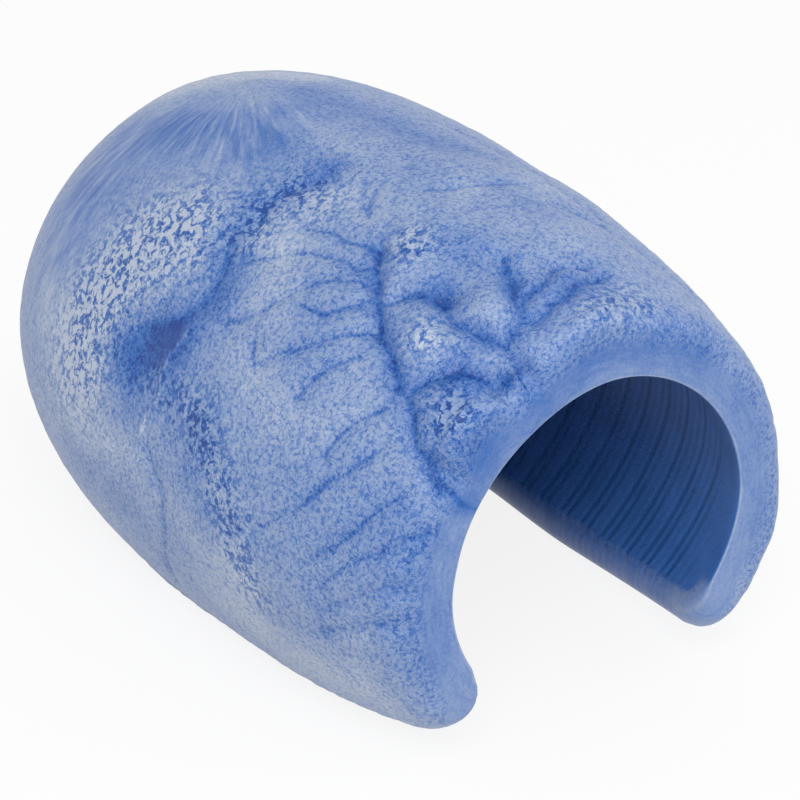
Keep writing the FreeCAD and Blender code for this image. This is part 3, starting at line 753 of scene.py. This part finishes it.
def moulded_nylon(name, flow, low, high):
    """Two near blacks mixed by cloud, by flow lines along one axis, and by short glass flecks."""
    nylon = Finish(name, {"Specular IOR Level": 0.5})
    where = nylon.place()
    stretched = nylon.node("VectorMath", {"operation": "MULTIPLY"}, {0: where, 1: flow})
    lines = nylon.noise(stretched, 900, 2.0, 0.6, 0.4)
    cloud = nylon.noise(where, 160, 3.0, 0.55)
    fleck = nylon.noise(where, 3800, 1.0).rise(0.62, 0.7)
    nylon.feed("Base Color", nylon.blend(lines * 0.5 + cloud * 0.4 + fleck * 0.3, low, high))
    nylon.feed("Roughness", 0.36 + cloud * 0.2 + fleck * 0.1)
    nylon.feed("Normal", nylon.bump(lines * 0.5 + fleck * 0.5, 0.00004, 0.6))
    return nylon


dress("inlet_bush", moulded_nylon("nylon_bush", (1.0, 0.12, 1.0), colour(30, 31, 34), colour(66, 68, 73)))

# ---- Inlet grommet: soft black rubber, pressed into the bush's end wall so that the elbow turns in it.
# ---- It is matt, with a grey bloom that comes to the skin in patches.


def bloomed_rubber():
    """Near black, paler where the bloom's noise is high; the bloom is the rougher of the two."""
    rubber = Finish("rubber_grommet", {"Specular IOR Level": 0.3})
    where = rubber.place()
    bloom = rubber.noise(where, 420, 3.0, 0.6, 0.5).rise(0.42, 0.68)
    pore = rubber.noise(where, 2600, 2.0)
    rubber.feed("Base Color", rubber.blend(bloom * 0.7 + pore * 0.3, colour(22, 22, 24),
                                           colour(62, 63, 66)))
    rubber.feed("Roughness", 0.66 + bloom * 0.22)
    rubber.feed("Normal", rubber.bump(pore, 0.00003, 0.7))
    return rubber


dress("inlet_grommet", bloomed_rubber())

# ---- Inlet elbow: the same nylon, moulded round two core pins, with a spigot for the air line.
# ---- Its flow lines run up the spigot.

dress("inlet_elbow", moulded_nylon("nylon_elbow", (1.0, 1.0, 0.1), colour(34, 35, 38), colour(72, 74, 80)))

# ---- Elbow retaining ring: spring steel wire, sprung into the elbow's groove behind the grommet.
# ---- It keeps the straw and blue tints of its tempering, with drawing lines along the wire.


def tempered_steel():
    """Steel whose tint goes from straw to blue with a broad noise, over fine drawing lines."""
    steel = Finish("steel_ring", {"Metallic": 1.0})
    where = steel.place()
    tint = steel.noise(where, 260, 2.0, 0.5).rise(0.35, 0.65)
    drawn = steel.noise(where, 3200, 2.0, 0.7)
    steel.feed("Base Color", steel.blend(tint, colour(186, 176, 150), colour(132, 142, 166)))
    steel.feed("Roughness", 0.24 + drawn * 0.22)
    steel.feed("Normal", steel.bump(drawn, 0.00002, 0.5))
    return steel


dress("elbow_retaining_ring", tempered_steel())

# ---- Coupling sleeve: a short length of milky silicone tube, pushed over the elbow's tail and the
# ---- air stone's nipple. It is cut from extruded tube and shows faint lines along its length.


def milky_silicone():
    """Milky and half clear, with lines along Y and specks of dust that are a little rougher."""
    silicone = Finish("silicone_sleeve", {"Transmission Weight": 0.35, "IOR": 1.41})
    where = silicone.place()
    along = silicone.node("VectorMath", {"operation": "MULTIPLY"}, {0: where, 1: (1.0, 0.06, 1.0)})
    line = silicone.noise(along, 1500, 2.0, 0.6)
    dust = silicone.noise(where, 2400, 2.0).rise(0.6, 0.72)
    silicone.feed("Base Color", silicone.blend(line * 0.8 + dust * 0.2, colour(196, 205, 208),
                                               colour(230, 234, 234)))
    silicone.feed("Roughness", 0.26 + line * 0.12 + dust * 0.2)
    silicone.feed("Normal", silicone.bump(line, 0.00003, 0.5))
    return silicone


dress("coupling_sleeve", milky_silicone())

# ---- Stone nipple: a grey moulded plastic cap, glued by its plug into the bore of the air stone.
# ---- Its skin has the fine spark-eroded texture of the mould, more worn on the tail.


def eroded_plastic():
    """Two greys on a fine even texture, with broad worn patches that shine more."""
    plastic = Finish("plastic_nipple", {"Specular IOR Level": 0.5})
    where = plastic.place()
    spark = plastic.noise(where, 2800, 2.0, 0.65)
    worn = plastic.noise(where, 210, 2.0).rise(0.45, 0.65)
    plastic.feed("Base Color", plastic.blend(spark * 0.6 + worn * 0.4, colour(128, 138, 147),
                                             colour(172, 180, 187)))
    plastic.feed("Roughness", 0.55 - worn * 0.22)
    plastic.feed("Normal", plastic.bump(spark, 0.00004, 0.6))
    return plastic


dress("stone_nipple", eroded_plastic())

# ---- Air stone: glass grit sintered to a porous cylinder, which breaks the air up into fine bubbles.
# ---- Each grain is a rounded lump of its own grey, with painted shade in the pores between.


def sintered_grit():
    """Cells: the distance to the nearest grain's middle gives the pores, painted dark as shade, and a noise
    the grain's grey.
    """
    grit = Finish("grit_stone", {"Specular IOR Level": 0.25})
    where = grit.place()
    to_grain = grit.node("TexVoronoi", {"feature": "F1"}, {"Vector": where, "Scale": 1500.0}, "Distance")
    pore = to_grain.rise(0.42, 0.75)
    grey = grit.noise(where, 900, 2.0, 0.6)
    lit = grit.blend(grey, colour(104, 116, 128), colour(188, 195, 200))
    grit.feed("Base Color", grit.blend(pore, lit, colour(48, 58, 70)))
    grit.feed("Roughness", 0.82 + pore * 0.12)
    grit.feed("Normal", grit.bump(1 - to_grain, 0.0003, 0.9))
    return grit


dress("air_stone", sintered_grit())

# ---- Cradle blocks: two blocks of the hood's own resin, cast apart and bonded to its side walls.
# ---- They are unpainted, with the small pits that air leaves in a casting.


def bare_resin():
    """Two blues mixed by cloud, with pits where a cell's middle is near, painted darker as shade in them.
    """
    resin = Finish("resin_blocks", {"Specular IOR Level": 0.4})
    where = resin.place()
    cloud = resin.noise(where, 300, 4.0, 0.6)
    middle = resin.node("TexVoronoi", {"feature": "F1"}, {"Vector": where, "Scale": 420.0}, "Distance")
    pit = middle.rise(0.16, 0.06)
    tone = resin.blend(cloud, colour(30, 56, 112), colour(62, 90, 150))
    resin.feed("Base Color", resin.blend(pit * 0.7, tone, colour(18, 36, 78)))
    resin.feed("Roughness", 0.5 + cloud * 0.2)
    resin.feed("Normal", resin.bump(cloud * 0.2 - pit, 0.0001, 0.8))
    return resin


dress("cradle_blocks", bare_resin())

# ---- Cradle inserts: two threaded brass sleeves, turned from bar and set in the blocks.
# ---- The tool leaves fine rings, and the brass dulls to brown where water stands on it.


def turned_metal(name, bright, dull, turning):
    """Fine rings about one axis, which the turning scales along, and a dull film in patches."""
    metal = Finish(name, {"Metallic": 1.0})
    where = metal.place()
    rings = metal.node("VectorMath", {"operation": "MULTIPLY"}, {0: where, 1: turning})
    ring = metal.noise(rings, 2000, 2.0, 0.6)
    film = metal.noise(where, 520, 3.0, 0.6).rise(0.45, 0.7)
    metal.feed("Base Color", metal.blend(film, bright, dull))
    metal.feed("Roughness", 0.22 + ring * 0.16 + film * 0.22)
    metal.feed("Normal", metal.bump(ring, 0.00002, 0.5))
    return metal


dress("cradle_inserts", turned_metal("brass_inserts", colour(222, 186, 112), colour(168, 128, 74),
                                     (0.1, 0.1, 1.0)))

# ---- Stone cradle: a moulded nylon bridge with two spring clips, screwed under the blocks.
# ---- Its flow lines run along the bridge from one block to the other.

dress("stone_cradle", moulded_nylon("nylon_cradle", (0.1, 1.0, 1.0), colour(32, 33, 36),
                                    colour(70, 72, 77)))

# ---- Cradle washers and screws: stainless steel, stamped and cold headed. They hold the bridge to
# ---- the inserts, and take a faint brown film from the water.

stainless = turned_metal("steel_screws", colour(206, 207, 210), colour(172, 166, 156), (1.0, 1.0, 0.1))
dress("cradle_washers", stainless)
dress("cradle_screws", stainless)

# ---- Floor: a wide sheet of matt white paper, lit by the lamps so that it keeps the shadow.
# ---- It shows as almost white to the camera and in reflections.

FLOOR_SIZE = 6.0
WHITENESS = 0.86             # share of plain white in what the floor shows
SHOWING = ("Is Camera Ray", "Is Glossy Ray", "Is Transmission Ray")
floor_mesh = bpy.data.meshes.new("floor")
corner = FLOOR_SIZE / 2
floor_mesh.from_pydata([(-corner, -corner, 0), (corner, -corner, 0), (corner, corner, 0),
                        (-corner, corner, 0)], [], [(0, 1, 2, 3)])
floor = bpy.data.objects.new("floor", floor_mesh)
bpy.context.scene.collection.objects.link(floor)
paper = Finish("paper_white", {"Base Color": (0.85, 0.85, 0.85, 1), "Roughness": 0.9,
                               "Specular IOR Level": 0.1})
seen = sum(paper.node("LightPath", {}, {}, ray) for ray in SHOWING)
glow = paper.node("Emission", {}, {"Color": (1, 1, 1, 1), "Strength": 1.0})
base = Wire(paper, paper.shader.outputs[0])
mixed = paper.node("MixShader", {}, {0: paper.clamp(seen) * WHITENESS, 1: base, 2: glow})
paper.tree.links.new(mixed.socket, paper.tree.nodes["Material Output"].inputs["Surface"])
floor_mesh.materials.append(paper.material)

# ---- Studio: an even white room and two large soft boxes, the brighter one on the left.
# ---- The room is dimmer as a light than it looks to the camera and in reflections.

ROOM_LIGHT = 0.62            # the room's strength as a light; it shows at a strength of 1
world = bpy.data.worlds.new("studio")
world.use_nodes = True
bpy.context.scene.world = world
sky = world.node_tree
backdrop = sky.nodes["Background"]
backdrop.inputs["Color"].default_value = (1, 1, 1, 1)
rays = sky.nodes.new("ShaderNodeLightPath")
level = sky.nodes.new("ShaderNodeMapRange")
level.inputs["To Min"].default_value = ROOM_LIGHT
level.inputs["To Max"].default_value = 1.0
shown = rays.outputs[SHOWING[0]]
for ray in SHOWING[1:]:
    either = sky.nodes.new("ShaderNodeMath")
    either.operation = "MAXIMUM"
    sky.links.new(shown, either.inputs[0])
    sky.links.new(rays.outputs[ray], either.inputs[1])
    shown = either.outputs[0]
sky.links.new(shown, level.inputs["Value"])
sky.links.new(level.outputs[0], backdrop.inputs["Strength"])


def lamp(name, place, aim, size, watts):
    """Square soft box at a place in metres, turned to face its aim."""
    data = bpy.data.lights.new(name, "AREA")
    data.size, data.energy = size, watts
    box = bpy.data.objects.new(name, data)
    direction = np.array(aim) - np.array(place)
    pitch = math.acos(-direction[2] / np.linalg.norm(direction))
    box.location = place
    box.rotation_euler = (pitch, 0, math.atan2(direction[0], -direction[1]) + math.pi)
    bpy.context.scene.collection.objects.link(box)


lamp("key", (-0.5, -0.7, 0.9), (0, 0, 0.05), 0.7, 9.0)
lamp("fill", (0.9, -0.6, 0.6), (0, 0, 0.05), 0.8, 3.0)

# ---- Camera: a long lens in front, to the left and above, turned a little about its own axis.
# ---- It looks at the egg's middle, which the shift moves a little off the middle of the frame.

AZIMUTH, ELEVATION, ROLL = math.radians(-36.25), math.radians(27.8), math.radians(2.013)
DISTANCE = 0.52826
LENS, SENSOR = 120.0, 36.0   # millimetres
SHIFT = (0.726 / 800, 9.832 / 800)
back = np.array([math.sin(AZIMUTH) * math.cos(ELEVATION), -math.cos(AZIMUTH) * math.cos(ELEVATION),
                 math.sin(ELEVATION)])
right = np.array([math.cos(AZIMUTH), math.sin(AZIMUTH), 0])
up = np.cross(back, right)
screen_right = right * math.cos(ROLL) + up * math.sin(ROLL)
screen_up = up * math.cos(ROLL) - right * math.sin(ROLL)
camera_data = bpy.data.cameras.new("camera")
camera_data.lens, camera_data.sensor_width = LENS, SENSOR
camera_data.shift_x, camera_data.shift_y = SHIFT
camera = bpy.data.objects.new("camera", camera_data)
bpy.context.scene.collection.objects.link(camera)
matrix = np.eye(4)
matrix[:3, 0], matrix[:3, 1], matrix[:3, 2] = screen_right, screen_up, back
matrix[:3, 3] = np.array(MIDDLE) * MM + back * DISTANCE
camera.matrix_world = Matrix(matrix.tolist())
bpy.context.scene.camera = camera
bpy.context.scene.view_settings.view_transform = "Standard"
